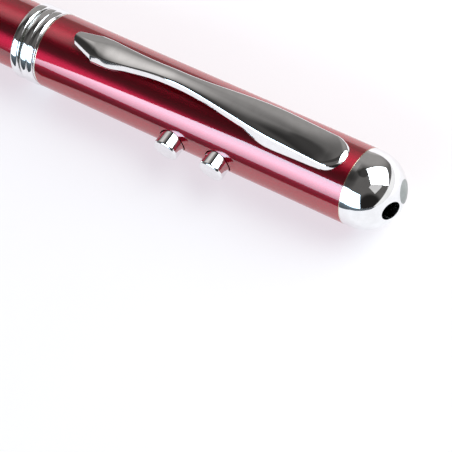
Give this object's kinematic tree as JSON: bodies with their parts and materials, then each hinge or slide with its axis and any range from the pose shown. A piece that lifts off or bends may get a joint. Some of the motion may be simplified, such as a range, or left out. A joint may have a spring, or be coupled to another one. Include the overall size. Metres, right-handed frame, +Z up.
{
  "type": "laser pointer pen",
  "caption": "Red metal pocket pen with a chrome dome that holds a laser and a lamp, two side buttons, a chrome clip and a twist-out ball point.",
  "frame": {"origin": "on the pen's axis, where the front barrel leaves the centre ring, which is where a holder's sleeve stops", "axes": "+X along the pen towards its light end, +Z up through the pocket clip, the buttons on the -Y side"},
  "size_m": [0.1369, 0.0136, 0.0141],
  "materials": {
    "red_coat": "glossy clear coat over metallic red",
    "chrome": "polished",
    "brass": "turned",
    "steel": "plain",
    "black_plastic": "matt",
    "white_plastic": "satin",
    "lamp_resin": "clear, slightly milky",
    "lens_glass": "clear",
    "board_green": "solder mask",
    "ink": "dark blue paste"
  },
  "bodies": {
    "rear_half": {"rear_barrel": "red_coat", "dome_cap": "chrome", "light_holder": "black_plastic", "laser_housing": "brass", "laser_lens": "lens_glass", "laser_diode": "brass", "laser_leads": "steel", "lamp": "lamp_resin", "lamp_leads": "steel", "circuit_board": "board_green", "board_parts": "black_plastic", "board_contact": "brass", "laser_switch": "black_plastic", "lamp_switch": "black_plastic", "button_cell_1": "steel", "button_cell_2": "steel", "button_cell_3": "steel", "cell_sleeve": "black_plastic", "cell_spring": "brass", "cell_plug": "brass", "twist_sleeve": "white_plastic"},
    "front_half": {"centre_ring": "chrome", "front_barrel": "red_coat", "nose_cone": "chrome", "guide_tube": "brass", "sleeve_cap": "brass"},
    "refill": {"refill_carrier": "black_plastic", "drive_pin": "steel", "refill_tube": "brass", "refill_ink": "ink", "refill_point": "steel", "point_ball": "steel"},
    "laser_key": {"laser_button": "chrome", "laser_plunger": "black_plastic"},
    "lamp_key": {"lamp_button": "chrome", "lamp_plunger": "black_plastic"},
    "clip": {"pocket_clip": "chrome"}
  },
  "joints": [
    {"name": "pen_twist", "type": "hinge", "parent": "rear_half", "child": "front_half", "pos_m": [0, 0, 0], "axis": [1, 0, 0], "range_deg": [0, 180]},
    {"name": "refill_feed", "type": "slide", "parent": "front_half", "child": "refill", "axis": [-1, 0, 0], "range_m": [0, 0.006]},
    {"name": "laser_press", "type": "slide", "parent": "rear_half", "child": "laser_key", "axis": [0, 1, 0], "range_m": [0, 0.0005], "stiffness_N_per_m": 2500},
    {"name": "lamp_press", "type": "slide", "parent": "rear_half", "child": "lamp_key", "axis": [0, 1, 0], "range_m": [0, 0.0005], "stiffness_N_per_m": 2500},
    {"name": "clip_flex", "type": "hinge", "parent": "rear_half", "child": "clip", "pos_m": [0.05355, 0, 0.0052], "axis": [0, 1, 0], "range_deg": [0, 3], "stiffness_Nm_per_rad": 3}
  ],
  "couplings": [
    {"joint": "refill_feed", "follows": "pen_twist", "m_per_rad": 0.0019099}
  ]
}
